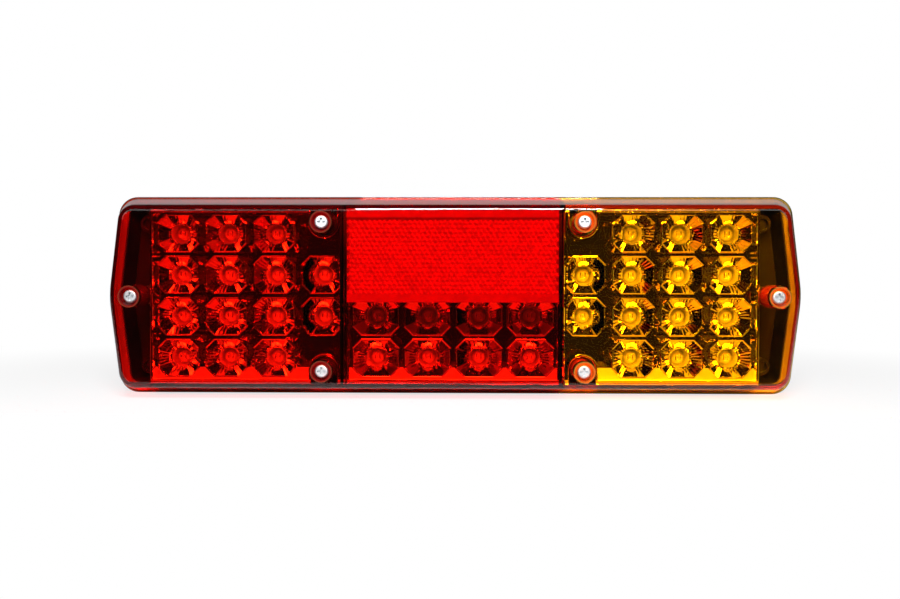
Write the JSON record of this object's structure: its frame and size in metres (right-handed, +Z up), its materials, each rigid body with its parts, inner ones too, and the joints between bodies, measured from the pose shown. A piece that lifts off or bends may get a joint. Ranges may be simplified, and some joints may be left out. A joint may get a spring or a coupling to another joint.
{
  "type": "rear combination lamp",
  "caption": "Long rear lamp with blunt pointed ends: a red and amber transparent lens over metallised cups with diodes, a reflex panel and a shallow housing with studs.",
  "frame": {"origin": "centre of the mounting plane at the back, midway between the studs", "axes": "+X along the lamp towards the amber end, +Y out of the back along the studs, +Z up"},
  "size_m": [0.394, 0.078, 0.112],
  "materials": {
    "lens_red": "clear red, polished",
    "lens_amber": "clear amber, polished",
    "housing": "black, fine moulded texture",
    "seal": "matt",
    "gasket_foam": "grey closed-cell foam",
    "reflex": "clear red with prisms",
    "backing": "plain",
    "metallised": "vacuum metallised mirror",
    "board": "solder mask",
    "diode": "clear resin",
    "plated_steel": "zinc plated",
    "terminal": "natural",
    "contact": "bright",
    "resistor": "lacquer",
    "wire": "insulated"
  },
  "bodies": {
    "root": {"board_centre": "board", "board_left": "board", "board_right": "board", "cable_grommet": "seal", "diode_centre_01": "diode", "diode_centre_02": "diode", "diode_centre_03": "diode", "diode_centre_04": "diode", "diode_centre_05": "diode", "diode_centre_06": "diode", "diode_centre_07": "diode", "diode_centre_08": "diode", "diode_left_01": "diode", "diode_left_02": "diode", "diode_left_03": "diode", "diode_left_04": "diode", "diode_left_05": "diode", "diode_left_06": "diode", "diode_left_07": "diode", "diode_left_08": "diode", "diode_left_09": "diode", "diode_left_10": "diode", "diode_left_11": "diode", "diode_left_12": "diode", "diode_left_13": "diode", "diode_left_14": "diode", "diode_right_01": "diode", "diode_right_02": "diode", "diode_right_03": "diode", "diode_right_04": "diode", "diode_right_05": "diode", "diode_right_06": "diode", "diode_right_07": "diode", "diode_right_08": "diode", "diode_right_09": "diode", "diode_right_10": "diode", "diode_right_11": "diode", "diode_right_12": "diode", "diode_right_13": "diode", "diode_right_14": "diode", "gasket": "gasket_foam", "housing": "housing", "lens_amber": "lens_amber", "lens_red": "lens_red", "lens_screws": "plated_steel", "module_screws": "plated_steel", "mounting_studs": "plated_steel", "reflex_backing": "backing", "reflex_reflector": "reflex", "resistors": "resistor", "terminal_block": "terminal", "terminal_screws": "contact", "tray_centre": "metallised", "tray_left": "metallised", "tray_right": "metallised", "wires_centre": "wire", "wires_left": "wire", "wires_right": "wire"}
  },
  "joints": []
}
